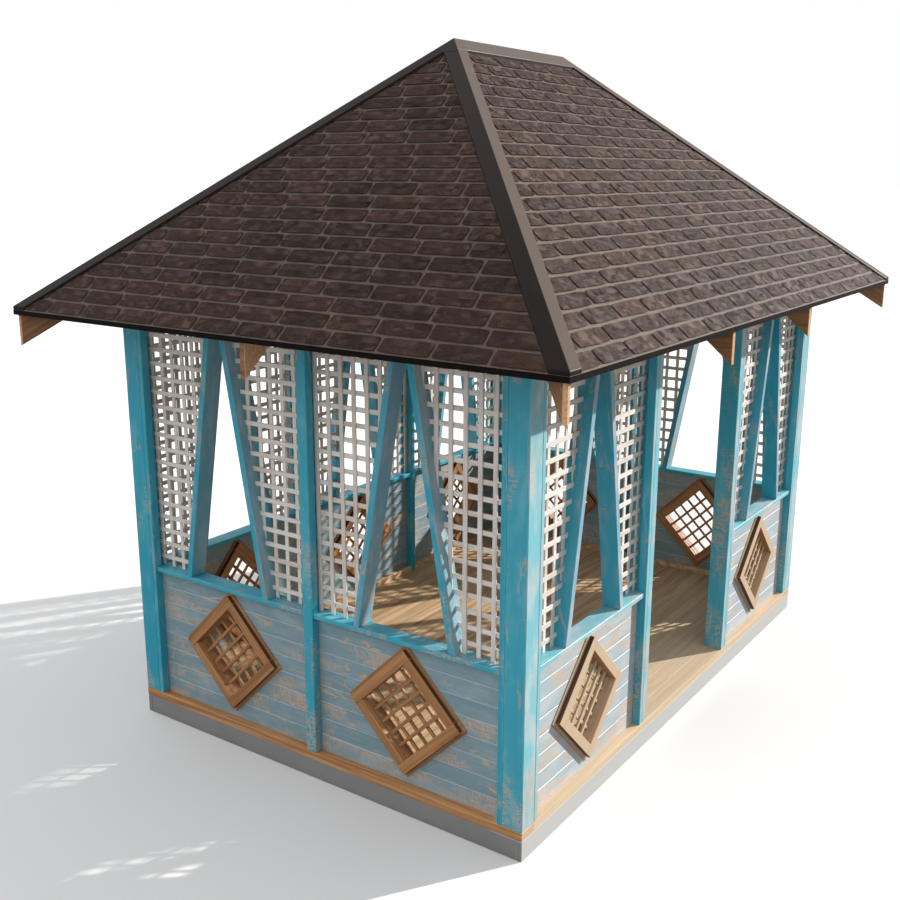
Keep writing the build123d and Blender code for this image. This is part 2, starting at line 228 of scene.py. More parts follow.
# %% Find the boards in a mesh and lay their grain
chance = np.random.default_rng(24)
crosses_the_grain = 0.6


def boards_in(mesh):
    """For each point of a mesh, the number of the separate board it belongs to. Two boards
    that only meet along an edge stay two: an edge with more than two faces joins nothing."""
    edges = np.empty(len(mesh.edges) * 2, np.int64)
    mesh.edges.foreach_get("vertices", edges)
    edges = edges.reshape(-1, 2)
    of_corner = np.empty(len(mesh.loops), np.int64)
    mesh.loops.foreach_get("edge_index", of_corner)
    shared = np.bincount(of_corner, minlength=len(edges)) > 2
    touched = np.isin(edges, edges[shared]).any(axis=1)
    first, second = edges[~touched].T
    label = np.arange(len(mesh.vertices))
    while True:
        lowest = np.minimum(label[first], label[second])
        settled = label.copy()
        np.minimum.at(settled, first, lowest)
        np.minimum.at(settled, second, lowest)
        settled = settled[settled]
        if np.array_equal(settled, label):
            break
        label = settled
    for one, other in edges[touched & ~shared]:
        low, high = sorted((one, other), key=lambda point: point in edges[shared])
        label[high] = label[low]
    return np.unique(label, return_inverse=True)[1]


def lay_grain(piece, sawn_slot=None):
    """Stores each point's place in its own board. Faces that cross the grain can take the
    finish of a sawn end."""
    mesh = piece.data
    points = np.empty(len(mesh.vertices) * 3)
    mesh.vertices.foreach_get("co", points)
    points = points.reshape(-1, 3)
    board = boards_in(mesh)
    grain = np.zeros_like(points)
    tone = np.zeros(len(points))
    axes = []
    for number in range(board.max() + 1):
        chosen = board == number
        centred = points[chosen] - points[chosen].mean(axis=0)
        long_way = np.linalg.svd(centred, full_matrices=False)[2][0]
        side = np.eye(3)[np.argmin(np.abs(long_way))]
        through = np.cross(long_way, side)
        through /= np.linalg.norm(through)
        across = np.cross(through, long_way)
        axes.append(long_way)
        in_board = centred @ np.array([long_way, across, through]).T
        grain[chosen] = in_board + chance.uniform(-40, 40, 3)
        tone[chosen] = chance.uniform()
    mesh.attributes.new("grain", "FLOAT_VECTOR", "POINT").data.foreach_set("vector", grain.ravel())
    mesh.attributes.new("board_tone", "FLOAT", "POINT").data.foreach_set("value", tone)
    if sawn_slot is not None:
        for face in mesh.polygons:
            owners = [board[point] for point in face.vertices]
            long_way = Vector(axes[max(owners, key=owners.count)])
            if abs(face.normal.dot(long_way)) > crosses_the_grain:
                face.material_index = sawn_slot
    return board.max() + 1


# %% Finish a piece: its materials, its grain, its body and the node it stands for
def finish_piece(piece, materials, *stands_for, sawn_slot=None):
    """Gives a new piece its materials and says which CAD nodes it replaces."""
    for material in materials:
        piece.data.materials.append(material)
    count = lay_grain(piece, sawn_slot)
    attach(piece, "root")
    if stands_for:
        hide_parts(*stands_for)
    print(piece.name, "boards", count, "faces", len(piece.data.polygons))
    return piece


# %% [markdown]
# ## Building materials from nodes
# Colours are written as the hex values that a paint card would give, and one function
# turns them into the linear light that Blender mixes. One more function adds a node, with
# its settings and its links, so each material below reads as a recipe.

# %% Colours and the node helper
smooth_steps = {"interpolation_type": "SMOOTHSTEP"}
colours = {"data_type": "RGBA"}


def paint_card(code):
    """An sRGB hex colour as linear RGBA."""
    parts = [int(code[i:i + 2], 16) / 255 for i in (1, 3, 5)]
    linear = [v / 12.92 if v <= 0.04045 else ((v + 0.055) / 1.055) ** 2.4 for v in parts]
    return (*linear, 1.0)


def connect(node, links):
    """Sets a node's inputs, each by a value, a socket or another node's output in use."""
    for socket, value in links.items():
        if isinstance(value, bpy.types.Node):
            value = next(output for output in value.outputs if output.enabled)
        if isinstance(value, bpy.types.NodeSocket):
            node.id_data.links.new(value, node.inputs[socket])
        else:
            node.inputs[socket].default_value = value


def add_node(tree, kind, links=None, **settings):
    """Adds a node with its settings and its links."""
    made = tree.nodes.new(kind)
    for name, value in settings.items():
        setattr(made, name, value)
    connect(made, links or {})
    return made


def new_material(name):
    """An empty material with its shader, and the tree to build in."""
    material = bpy.data.materials.new(name)
    material.use_nodes = True
    print("material", name)
    return material, material.node_tree, material.node_tree.nodes["Principled BSDF"]


# %% [markdown]
# ## Patterns that follow the boards
# Paint, wash and wood all show clouds, specks or streaks that follow each board. Noise laid
# on the stored grain gives them, once its coordinates are stretched: a small number along
# the board and a large one across it draws streaks. Only a part of the noise's range is
# used, from a low to a high level, which sets how much of the board the pattern covers.
# Sheet and masonry paint have no grain, so their patches are laid in plain metres.

# %% Clouds, patches and wandering lines
def along_board(tree, scale):
    """Each point's place in its board in metres, times a scale along, across and through it."""
    grain = add_node(tree, "ShaderNodeAttribute", attribute_name="grain").outputs["Vector"]
    return add_node(tree, "ShaderNodeMapping", {0: grain, "Scale": scale})


def board_clouds(tree, scale, detail=4.0, roughness=0.55):
    """Clouds that are stretched along each board."""
    place = along_board(tree, scale)
    links = {"Vector": place, "Scale": 1.0, "Detail": detail, "Roughness": roughness}
    return add_node(tree, "ShaderNodeTexNoise", links)


def board_patches(tree, scale, low, high, most=1.0, detail=4.0, roughness=0.55):
    """Patches where the clouds pass from a low to a high level, as a share up to the most."""
    clouds = board_clouds(tree, scale, detail, roughness)
    return add_node(tree, "ShaderNodeMapRange", {0: clouds, 1: low, 2: high, 4: most}, **smooth_steps)


def patches(tree, place, spots, low, high, most=1.0, detail=4.0, roughness=0.55):
    """Patches of one size in every direction, so many spots to the metre."""
    links = {"Vector": place, "Scale": spots, "Detail": detail, "Roughness": roughness}
    clouds = add_node(tree, "ShaderNodeTexNoise", links)
    return add_node(tree, "ShaderNodeMapRange", {0: clouds, 1: low, 2: high, 4: most}, **smooth_steps)


def wandering(tree, scale, push_scale, detail, amount):
    """A board's coordinates pushed aside by slow clouds, so that lines on them wander."""
    push = board_clouds(tree, push_scale, detail)
    push = add_node(tree, "ShaderNodeVectorMath", {0: push, 1: amount}, operation="MULTIPLY")
    straight = along_board(tree, scale)
    return add_node(tree, "ShaderNodeVectorMath", {0: straight, 1: push}, operation="ADD")


def board_share(tree, least, most):
    """A share from the least to the most that each board draws for itself."""
    tone = add_node(tree, "ShaderNodeAttribute", attribute_name="board_tone").outputs["Fac"]
    return add_node(tree, "ShaderNodeMapRange", {0: tone, 3: least, 4: most}, **smooth_steps)


# %% [markdown]
# ## Weathered paint on timber
# The posts, sills and boards carry old oil paint, brushed on. Sun and rain have bleached
# it in clouds, rubbed it through in specks that follow the grain, and things leant
# against it have scratched it. Faces that look toward the sun are made paler: partly sun
# bleaching, partly painted sunlight. Bare peach-coloured wood shows where it is gone, more of it
# low down. A mask decides where the paint is gone, and drives colour, gloss and bump
# together, because a worn spot is at once another colour, duller and a little lower.

# %% Where the sun bleaches, and where sunlight is painted
def sunward(tree):
    """How far a face looks up and to the doorway's side, where the sun bleaches most and where sunlight
    is painted paler.
    """
    facing = add_node(tree, "ShaderNodeNewGeometry").outputs["Normal"]
    links = {0: facing, 1: (0.1, -0.65, 0.75)}
    return add_node(tree, "ShaderNodeVectorMath", links, operation="DOT_PRODUCT")


def painted_sunlight_and_bleach(tree, most, reach=0.2):
    """From 0 to most: how far the sun has bleached a face, and how much painted sunlight
    makes it paler. It fades out at a distance (reach) inside the sunny front."""
    links = {0: sunward(tree), 1: 0.1, 2: 0.6, 4: most}
    paled_by_bleach_and_sunlight = add_node(tree, "ShaderNodeMapRange", links, **smooth_steps)
    place = add_node(tree, "ShaderNodeTexCoord").outputs["Object"]
    depth = add_node(tree, "ShaderNodeSeparateXYZ", {0: place}).outputs["Y"]
    links = {0: depth, 1: 0.12 - half_width, 2: reach - half_width, 3: 1.0, 4: 0.0}
    at_front = add_node(tree, "ShaderNodeMapRange", links, **smooth_steps)
    return add_node(tree, "ShaderNodeMath", {0: paled_by_bleach_and_sunlight, 1: at_front}, operation="MULTIPLY")


# %% Where paint is rubbed off or scratched
def rubbed_through(tree, wear, low_wear):
    """Where paint is rubbed off: small marks across and along the grain, in some areas."""
    place = add_node(tree, "ShaderNodeTexCoord").outputs["Object"]
    height = add_node(tree, "ShaderNodeSeparateXYZ", {0: place}).outputs["Z"]
    links = {0: height, 1: 0.15, 2: 0.75, 3: low_wear, 4: 0.0}
    foot = add_node(tree, "ShaderNodeMapRange", links, **smooth_steps)
    links = {0: foot, 1: board_share(tree, -0.05, 0.05)}
    foot = add_node(tree, "ShaderNodeMath", links, operation="ADD")
    areas = board_clouds(tree, (3.2, 8, 8), detail=3)
    areas = add_node(tree, "ShaderNodeMath", {0: areas, 1: foot}, operation="ADD")
    links = {0: areas, 1: 0.64 - 0.2 * wear, 2: 0.8 - 0.2 * wear}
    areas = add_node(tree, "ShaderNodeMapRange", links, **smooth_steps)
    across = board_patches(tree, (150, 26, 26), 0.5, 0.58, roughness=0.7)
    along = board_patches(tree, (16, 130, 130), 0.52, 0.6, roughness=0.7)
    marks = add_node(tree, "ShaderNodeMath", {0: across, 1: along}, operation="MAXIMUM")
    return add_node(tree, "ShaderNodeMath", {0: areas, 1: marks}, operation="MULTIPLY")


def scratches_in_paint(tree, share):
    """Thin crooked lines along the grain, in some places only."""
    crooked = wandering(tree, (1.3, 7, 7), (5, 16, 16), 3, (0.6, 0.6, 0.6))
    links = {"Vector": crooked, "Scale": 1.0}
    cells = add_node(tree, "ShaderNodeTexVoronoi", links, feature="DISTANCE_TO_EDGE")
    links = {0: cells.outputs["Distance"], 1: 0.006, 2: 0.024, 3: 1.0, 4: 0.0}
    cracks = add_node(tree, "ShaderNodeMapRange", links, **smooth_steps)
    where = board_patches(tree, (3.1, 6, 6), 0.52, 0.6, detail=2)
    cracks = add_node(tree, "ShaderNodeMath", {0: cracks, 1: where}, operation="MULTIPLY")
    return add_node(tree, "ShaderNodeMath", {0: cracks, 1: share}, operation="MULTIPLY")


# %% The paint recipe
def weathered_paint(
    name, paint, paled_by_bleach_and_sunlight, bare, wear=0.5, low_wear=0.0, bleach_and_painted_sunlight=0.8, scratched=0.5, reach=0.2
):
    """Old brushed paint: wear from 0 to 1 is how much is rubbed through."""
    material, tree, shader = new_material(name)
    pale = paint_card(paled_by_bleach_and_sunlight)
    # Faces toward the sun are made paler and chalkier: partly sun bleaching, partly painted sunlight.
    bleach_and_sunlight_share = painted_sunlight_and_bleach(tree, bleach_and_painted_sunlight, reach)
    clouds = board_patches(tree, (5, 10, 10), 0.46, 0.74, most=0.45)
    clouds = add_node(tree, "ShaderNodeMath", {0: clouds, 1: bleach_and_sunlight_share}, operation="MAXIMUM")
    colour = add_node(tree, "ShaderNodeMix", {0: clouds, 6: paint_card(paint), 7: pale}, **colours)
    links = {0: 1.0, 6: colour, 7: (0.88, 0.9, 0.92, 1)}
    darker = add_node(tree, "ShaderNodeMix", links, blend_type="MULTIPLY", **colours)
    brushed = board_patches(tree, (4, 160, 160), 0.3, 0.7, detail=2)
    colour = add_node(tree, "ShaderNodeMix", {0: brushed, 6: darker, 7: colour}, **colours)
    faded = board_share(tree, 0.0, 0.1)
    colour = add_node(tree, "ShaderNodeMix", {0: faded, 6: colour, 7: pale}, **colours)
    powdery_patches_in_sun = board_patches(tree, (5, 12, 12), 0.4, 0.66, most=0.9)
    powdery_patches_in_sun = add_node(tree, "ShaderNodeMath", {0: powdery_patches_in_sun, 1: bleach_and_sunlight_share}, operation="MULTIPLY")
    links = {0: powdery_patches_in_sun, 6: colour, 7: paint_card("#c6ccd0")}
    colour = add_node(tree, "ShaderNodeMix", links, **colours)

    rubbed = rubbed_through(tree, wear, low_wear)
    links = {0: rubbed, 1: scratches_in_paint(tree, scratched)}
    worn = add_node(tree, "ShaderNodeMath", links, operation="MAXIMUM", use_clamp=True)
    links = {0: board_clouds(tree, (5, 120, 120)), 6: paint_card(bare), 7: paint_card("#c4a284")}
    wood = add_node(tree, "ShaderNodeMix", links, **colours)
    share = add_node(tree, "ShaderNodeMath", {0: worn, 1: 0.8}, operation="MULTIPLY")
    colour = add_node(tree, "ShaderNodeMix", {0: share, 6: colour, 7: wood}, **colours)
    dull = add_node(tree, "ShaderNodeMapRange", {0: worn, 3: 0.5, 4: 0.8}, **smooth_steps)
    skin = add_node(tree, "ShaderNodeMath", {0: brushed, 1: worn}, operation="SUBTRACT")
    relief = add_node(tree, "ShaderNodeBump", {"Height": skin, "Distance": 0.0004, "Strength": 0.6})
    connect(shader, {"Base Color": colour, "Roughness": dull, "Normal": relief})
    return material


teal_paint = weathered_paint(
    "brushed_oil_paint_teal", "#2aa7c0", "#8acbd3", "#dcb896", wear=0.46, low_wear=0.08, scratched=0.5
)
# The slanted boards are paler toward the sun all over the building: partly bleaching, partly painted
# sunlight.
slanted_paint = weathered_paint(
    "oil_paint_teal_paled_by_bleach_and_painted_sunlight", "#2aa7c0", "#a4bac6", "#dcb896", wear=0.46, bleach_and_painted_sunlight=0.6,
    scratched=0.6, reach=5.0,
)
panel_paint = weathered_paint(
    "brushed_oil_paint_grey_blue", "#839fa8", "#b9c6cc", "#ecbc8c", wear=0.74, low_wear=0.05,
    scratched=1.0,
)
# The chamfers at the board joints are painted near white: paint rubbed off, and a painted highlight so
# the joints show in shade.
arris_wear_and_highlight = weathered_paint(
    "rubbed_and_highlighted_edge_of_grey_blue_paint", "#bccad0", "#dfe6e9", "#e2cbb2", wear=0.2
)

# %% [markdown]
# ## Thin whitewash on the laths
# The laths were dipped or brushed with thin off-white paint. Dust, knots and the grain show
# through it as faint brown clouds and streaks along each lath, and no two laths are quite
# the same tone.

# %% The laths' whitewash
def whitewash(name, wash, stain):
    """Thin off-white paint on sawn laths."""
    material, tree, shader = new_material(name)
    brown = paint_card(stain)
    clouds = board_patches(tree, (5, 30, 30), 0.42, 0.72, most=0.7, detail=5)
    streaks = board_clouds(tree, (14, 300, 300), detail=3)
    links = {0: streaks, 1: 0.56, 2: 0.68, 4: 0.5}
    specks = add_node(tree, "ShaderNodeMapRange", links, **smooth_steps)
    share = add_node(tree, "ShaderNodeMath", {0: clouds, 1: specks}, operation="MAXIMUM")
    colour = add_node(tree, "ShaderNodeMix", {0: share, 6: paint_card(wash), 7: brown}, **colours)
    browner = board_share(tree, 0.0, 0.25)
    colour = add_node(tree, "ShaderNodeMix", {0: browner, 6: colour, 7: brown}, **colours)
    relief = add_node(tree, "ShaderNodeBump", {"Height": streaks, "Distance": 0.0003, "Strength": 0.5})
    connect(shader, {"Base Color": colour, "Roughness": 0.62, "Normal": relief})
    return material


lath_wash = whitewash("thin_off_white_wash_on_laths", "#eee9e3", "#c8b5a6")

# %% [markdown]
# ## Oiled and bare timber
# The deck, the window frames and the rafters aren't painted. Planed wood shows dark and
# pale growth rings as long streaks, which a noise stretched along the grain gives. Ring
# widths are 2 to 4 mm, drawn coarser here because finer ones vanish in the picture. A sawn
# end drinks oil differently: the same recipe, paler, with specks in place of streaks.

# %% The timber recipe
def timber(
    name, pale, dark, gloss=0.55, rings=(1.6, 60, 60), tone_range=0.35, bleach_and_painted_sunlight=0.0, reach=0.2
):
    """Planed wood: streaks along the grain, and each board a tone of its own."""
    material, tree, shader = new_material(name)
    links = {"Vector": wandering(tree, rings, (1.2, 6, 6), 2, (0.0, 2.4, 2.4))}
    links |= {"Scale": 1.0, "Detail": 4.0, "Roughness": 0.6}
    lines = add_node(tree, "ShaderNodeTexNoise", links)
    streaks = add_node(tree, "ShaderNodeMapRange", {0: lines, 1: 0.32, 2: 0.7}, **smooth_steps)
    links = {0: streaks, 6: paint_card(pale), 7: paint_card(dark)}
    colour = add_node(tree, "ShaderNodeMix", links, **colours)
    links = {0: 1.0, 6: colour, 7: (0.72, 0.66, 0.6, 1)}
    deep = add_node(tree, "ShaderNodeMix", links, blend_type="MULTIPLY", **colours)
    pores = board_patches(tree, (14, 500, 500), 0.55, 0.72, detail=2)
    pores = add_node(tree, "ShaderNodeMapRange", {0: pores, 4: 0.35}, **smooth_steps)
    colour = add_node(tree, "ShaderNodeMix", {0: pores, 6: colour, 7: deep}, **colours)
    browner = board_share(tree, 0.0, tone_range)
    colour = add_node(tree, "ShaderNodeMix", {0: browner, 6: colour, 7: deep}, **colours)
    # Faces toward the sun turn pale grey-brown: partly weathered, partly painted sunlight.
    if bleach_and_painted_sunlight:
        links = {0: painted_sunlight_and_bleach(tree, bleach_and_painted_sunlight, reach), 6: colour, 7: paint_card("#d3c0a4")}
        colour = add_node(tree, "ShaderNodeMix", links, **colours)
    dull = add_node(tree, "ShaderNodeMapRange", {0: streaks, 3: gloss, 4: gloss + 0.12}, **smooth_steps)
    relief = add_node(tree, "ShaderNodeBump", {"Height": streaks, "Distance": 0.0003, "Strength": 0.4})
    connect(shader, {"Base Color": colour, "Roughness": dull, "Normal": relief})
    return material


# Deck planks near the doorway are paler where they face the sun: partly bleaching, partly painted
# sunlight.
deck_timber = timber(
    "oiled_deck_planks", "#ebcea6", "#be946a", gloss=0.55, rings=(0.8, 34, 34), tone_range=0.42,
    bleach_and_painted_sunlight=0.7, reach=0.9,
)
frame_timber = timber("stained_window_wood", "#c08d5c", "#9a673d", gloss=0.5, bleach_and_painted_sunlight=0.75)
edge_board_timber = timber("stained_edge_board_wood", "#d09b68", "#a26e43", bleach_and_painted_sunlight=0.6)
# Dark brown for the outer sides of the thicker frame ring: painted shade.
frame_sides_painted_shade = timber("frame_sides_painted_dark_as_shade", "#5f3d25", "#472c1a", gloss=0.6)
rafter_timber = timber("stained_rafter_wood", "#a3744c", "#7a5233", gloss=0.6)
sawn_end = timber("sawn_end_of_softwood", "#e0b48c", "#c39468", gloss=0.7, rings=(90, 90, 90))
bare_wood = timber("bare_sawn_softwood", "#b0906a", "#87674a", gloss=0.7)

# %% [markdown]
# ## Masonry paint on the plinth
# The plinth boards are coated in plain grey masonry paint with fine sand in it. It is
# nearly even, so the recipe has only slow clouds, a fine grit, splashed dirt along
# the foot, and faces toward the sun made paler, partly bleached and partly painted sunlight.

# %% The plinth's grey
def sanded_grey(name, grey, dirty):
    """Grey masonry paint, dirtier near the ground, and painted paler on sunny faces near the front."""
    material, tree, shader = new_material(name)
    place = add_node(tree, "ShaderNodeTexCoord").outputs["Object"]
    clouds = patches(tree, place, 3.0, 0.35, 0.7, most=0.4)
    height = add_node(tree, "ShaderNodeSeparateXYZ", {0: place}).outputs["Z"]
    links = {0: height, 1: 0.0, 2: 0.05, 3: 0.35, 4: 0.0}
    splash = add_node(tree, "ShaderNodeMapRange", links, **smooth_steps)
    links = {0: clouds, 1: splash}
    share = add_node(tree, "ShaderNodeMath", links, operation="ADD", use_clamp=True)
    links = {0: share, 6: paint_card(grey), 7: paint_card(dirty)}
    colour = add_node(tree, "ShaderNodeMix", links, **colours)
    # Sunny faces near the front are mixed to pale grey: partly bleaching, partly painted sunlight.
    links = {0: painted_sunlight_and_bleach(tree, 0.85), 6: colour, 7: paint_card("#c4c4c2")}
    colour = add_node(tree, "ShaderNodeMix", links, **colours)
    links = {"Vector": place, "Scale": 420.0, "Detail": 3.0, "Roughness": 0.55}
    sand = add_node(tree, "ShaderNodeTexNoise", links)
    relief = add_node(tree, "ShaderNodeBump", {"Height": sand, "Distance": 0.0004, "Strength": 0.5})
    connect(shader, {"Base Color": colour, "Roughness": 0.85, "Normal": relief})
    return material


plinth_grey = sanded_grey("sanded_grey_masonry_paint", "#8c8c8b", "#7a7a79")

# %% [markdown]
# ## Mineral grit on bitumen
# The roof covering is bitumen sheet pressed with coloured mineral grit in a brick pattern:
# red-brown pads for the bricks and a paler grit for the joints. Grit is about 1 mm, so it
# is drawn at 6 to 7 mm to show at all. Every pad has its own tone, from red-brown to dark
# brown, and nearly black smudges lie over them.

# %% The covering's recipes
def mineral_grit(name, red, brown, black, spread=1.0, shine=0.32):
    """Bitumen sheet with pressed grit, each pad a tone of its own."""
    material, tree, shader = new_material(name)
    place = add_node(tree, "ShaderNodeTexCoord").outputs["Object"]
    tone = add_node(tree, "ShaderNodeAttribute", attribute_name="board_tone").outputs["Fac"]
    links = {0: tone, 1: 0.2, 2: 0.8, 4: spread}
    browner = add_node(tree, "ShaderNodeMapRange", links, **smooth_steps)
    links = {0: browner, 6: paint_card(red), 7: paint_card(brown)}
    colour = add_node(tree, "ShaderNodeMix", links, **colours)
    smudges = patches(tree, place, 30.0, 0.4, 0.7, detail=6, roughness=0.75)
    smudges = add_node(tree, "ShaderNodeMapRange", {0: smudges, 4: 0.45}, **smooth_steps)
    # Broad soft darker patches over the slopes: stains, and a painted shadow of dappled trees.
    stains_and_tree_shadow = patches(tree, place, 1.7, 0.42, 0.62, detail=3)
    stains_and_tree_shadow = add_node(tree, "ShaderNodeMapRange", {0: stains_and_tree_shadow, 4: 0.22}, **smooth_steps)
    for share in (smudges, stains_and_tree_shadow):
        links = {0: share, 6: colour, 7: paint_card(black)}
        colour = add_node(tree, "ShaderNodeMix", links, **colours)
    links = {0: 1.0, 6: colour, 7: (1.7, 1.65, 1.6, 1)}
    light = add_node(tree, "ShaderNodeMix", links, blend_type="MULTIPLY", **colours)
    links = {"Vector": place, "Scale": 150.0, "Detail": 4.0, "Roughness": 0.7}
    grit = add_node(tree, "ShaderNodeTexNoise", links)
    links = {0: grit, 1: 0.5, 2: 0.7, 4: 0.8}
    bright = add_node(tree, "ShaderNodeMapRange", links, **smooth_steps)
    colour = add_node(tree, "ShaderNodeMix", {0: bright, 6: colour, 7: light}, **colours)
    relief = add_node(tree, "ShaderNodeBump", {"Height": grit, "Distance": 0.0012, "Strength": 0.7})
    connect(shader, {"Base Color": colour, "Normal": relief})
    connect(shader, {"Roughness": 0.62, "Specular IOR Level": shine})
    return material


brick_grit = mineral_grit("red_brown_mineral_grit", "#573c31", "#453129", "#2f231c")
joint_grit = mineral_grit("pale_mineral_grit_of_joints", "#63554b", "#594c43", "#40362f", spread=0.4)
# Near-black for the sheet's edge: bitumen is dark, and the near-black also paints the shade line along
# the eave.
sheet_edge_and_painted_shade = mineral_grit("bitumen_edge_painted_near_black_as_shade", "#15100e", "#110d0b", "#0b0908", shine=0.06)

# %% [markdown]
# ## Coated sheet for the caps
# The hips and the ridge are covered by folded metal sheet with a dark brown powder coat.
# The coat hides the metal, so it is a plain dielectric: smooth, with a weak gloss and slow
# clouds of dust that dull it. On the sunny side the coat is painted paler, a painted sheen of the low
# sun.

# %% The caps' coat
def powder_coat(name, coat, dusty):
    """Powder-coated sheet with a film of dust."""
    material, tree, shader = new_material(name)
    place = add_node(tree, "ShaderNodeTexCoord").outputs["Object"]
    dust = patches(tree, place, 5.0, 0.35, 0.72, detail=5, roughness=0.6)
    links = {0: dust, 6: paint_card(coat), 7: paint_card(dusty)}
    colour = add_node(tree, "ShaderNodeMix", links, **colours)
    # Faces toward the sun are mixed toward pale grey-brown: a painted sheen of the low sun.
    links = {0: sunward(tree), 1: 0.72, 2: 0.95, 4: 0.55}
    painted_sheen_share = add_node(tree, "ShaderNodeMapRange", links, **smooth_steps)
    links = {0: painted_sheen_share, 6: colour, 7: paint_card("#6e6057")}
    colour = add_node(tree, "ShaderNodeMix", links, **colours)
    dull = add_node(tree, "ShaderNodeMapRange", {0: dust, 3: 0.36, 4: 0.44}, **smooth_steps)
    connect(shader, {"Base Color": colour, "Roughness": dull, "Specular IOR Level": 0.1})
    return material


cap_coat = powder_coat("brown_powder_coat_on_sheet", "#1b1411", "#261d19")

# %% [markdown]
# ## Plinth, joists and plates
# These timbers are plain in the CAD frame and right in shape. Each is copied, merged and
# eased by 2 to 4 mm, which is what a plane takes off an arris.

# %% Timber that only needs its edges eased
eased_timber = [
    ("plinth_long_boards", "plinth_boards_long", 0.003, plinth_grey),
    ("plinth_end_boards", "plinth_boards_end", 0.003, plinth_grey),
    ("floor_joists", "joists_under_deck", 0.002, bare_wood),
    ("corner_posts", "posts_at_corners", 0.004, teal_paint),
    ("end_middle_posts", "posts_in_ends", 0.003, teal_paint),
    ("door_posts", "posts_at_doorway", 0.003, teal_paint),
    ("back_posts", "posts_in_back", 0.003, teal_paint),
    ("long_side_stops", "stops_on_long_sides", 0.002, teal_paint),
    ("end_stops", "stops_on_ends", 0.002, teal_paint),
    ("long_side_sills", "sills_on_long_sides", 0.002, teal_paint),
    ("end_sills", "sills_on_ends", 0.003, teal_paint),
    ("long_side_slanted_boards", "slanted_boards_on_long_sides", 0.002, slanted_paint),
    ("end_slanted_boards", "slanted_boards_on_ends", 0.002, slanted_paint),
    ("long_wall_plates", "wall_plates_long", 0.003, bare_wood),
    ("end_wall_plates", "wall_plates_end", 0.003, bare_wood),
    ("panel_battens", "battens_at_panel_foot", 0.003, deck_timber),
]
for node, name, width, material in eased_timber:
    piece = copy_of_node(node, name)
    ease(piece, width)
    finish_piece(piece, [material], node)

# %% [markdown]
# ## Rafters with sawn ends
# The rafters are the same work, with one thing more: their tails end in a plumb cut that
# shows paler end grain. Any face that looks mostly along its own board is such an end, so
# it takes the second finish.

# %% Rafters and ridge board
for node, name in (
    ("common_rafters", "rafters_common"),
    ("hip_rafters", "rafters_at_hips"),
    ("ridge_board", "board_at_ridge"),
):
    piece = copy_of_node(node, name)
    ease(piece, 0.002)
    finish_piece(piece, [rafter_timber, sawn_end], node, sawn_slot=1)

# %% [markdown]
# ## Deck planks
# The deck is laid in planks along the building. Modelling one plank and laying 25 of them
# side by side gives a true joint between each two. A board with a browner stain runs across
# their ends, so that no end grain faces the rain.

# %% One plank, laid 25 times, and its end trims
plank_count = 25
plank_gap = 0.0006
end_trim = 0.098
trim_gap = 0.0005
deck_low, deck_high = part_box("deck_boards")
plank_pitch = (deck_high.y - deck_low.y) / plank_count
deck_thickness = deck_high.z - deck_low.z
plank_length = deck_high.x - deck_low.x - 2 * end_trim
plank = stick("plank", (plank_length, plank_pitch - plank_gap, deck_thickness), 0.0008)
trim = stick("trim", (end_trim - trim_gap, deck_high.y - deck_low.y, deck_thickness), 0.0015)
for face in trim.data.polygons:
    face.material_index = 1
deck_middle = (deck_low.z + deck_high.z) / 2
laid = [
    (plank, moved(0, deck_low.y + (row + 0.5) * plank_pitch, deck_middle))
    for row in range(plank_count)
]
trim_at = deck_high.x - end_trim / 2
laid += [(trim, moved(side * trim_at, 0, deck_middle)) for side in (-1, 1)]
deck = set_out("deck_planks", laid)
put_away(plank, trim)
finish_piece(deck, [deck_timber, edge_board_timber], "deck_boards")

# %% [markdown]
# ## Boarded panels
# Each panel is eight level boards with eased edges. A fine bright line shows at every
# joint: the paint is rubbed off there, and the chamfers are painted near white as a
# painted highlight. The boards of one bay are laid first, and then one boolean cut takes
# the diamond opening out of all eight, so that board edges and hole always agree. The
# faces that the cut leaves, all at 45 degrees, are the window's wooden lining.

# %% A bay of boards with its diamond hole, set in each wall
board_rows = 8
board_gap = 0.0003
opening = 0.340
cutter_depth = 0.2
sharp = 0.00001
board_pitch = (panel_top - deck_top) / board_rows
panel_thickness = panel_back - panel_face
panel_middle = -(panel_face + panel_back) / 2


def bay_of_boards(width):
    """Eight boards with eased edges and a diamond hole, on the bench."""
    board = stick("board", (width, board_pitch - board_gap, panel_thickness), 0.0015)
    bay = set_out("bay", [
        (board, moved(0, deck_top + (row + 0.5) * board_pitch, panel_middle))
        for row in range(board_rows)
    ])
    put_away(board)
    cutter = stick("diamond", (opening, opening, cutter_depth), sharp)
    cutter.data.transform(turned(45))
    cutter.data.transform(moved(0, window_height, 0))
    cut = bay.modifiers.new("diamond_hole", "BOOLEAN")
    cut.operation = "DIFFERENCE"
    cut.solver = "EXACT"
    cut.object = cutter
    apply_all(bay)
    put_away(cutter)
    for face in bay.data.polygons:
        lining = min(abs(face.normal.x), abs(face.normal.y)) > 0.6
        arris = 0.5 < abs(face.normal.z) < 0.9
        face.material_index = 2 if lining else int(arris)
    return bay


widths = sorted({width for found in bays.values() for centre, width in found})
bay_patterns = {width: bay_of_boards(width) for width in widths}
for wall, found in bays.items():
    panels = set_out(f"boarded_panels_{wall}", [
        (bay_patterns[width], walls[wall] @ moved(centre, 0, 0)) for centre, width in found
    ])
    finish_piece(panels, [panel_paint, arris_wear_and_highlight, frame_timber], f"{wall}_panels")
put_away(*bay_patterns.values())

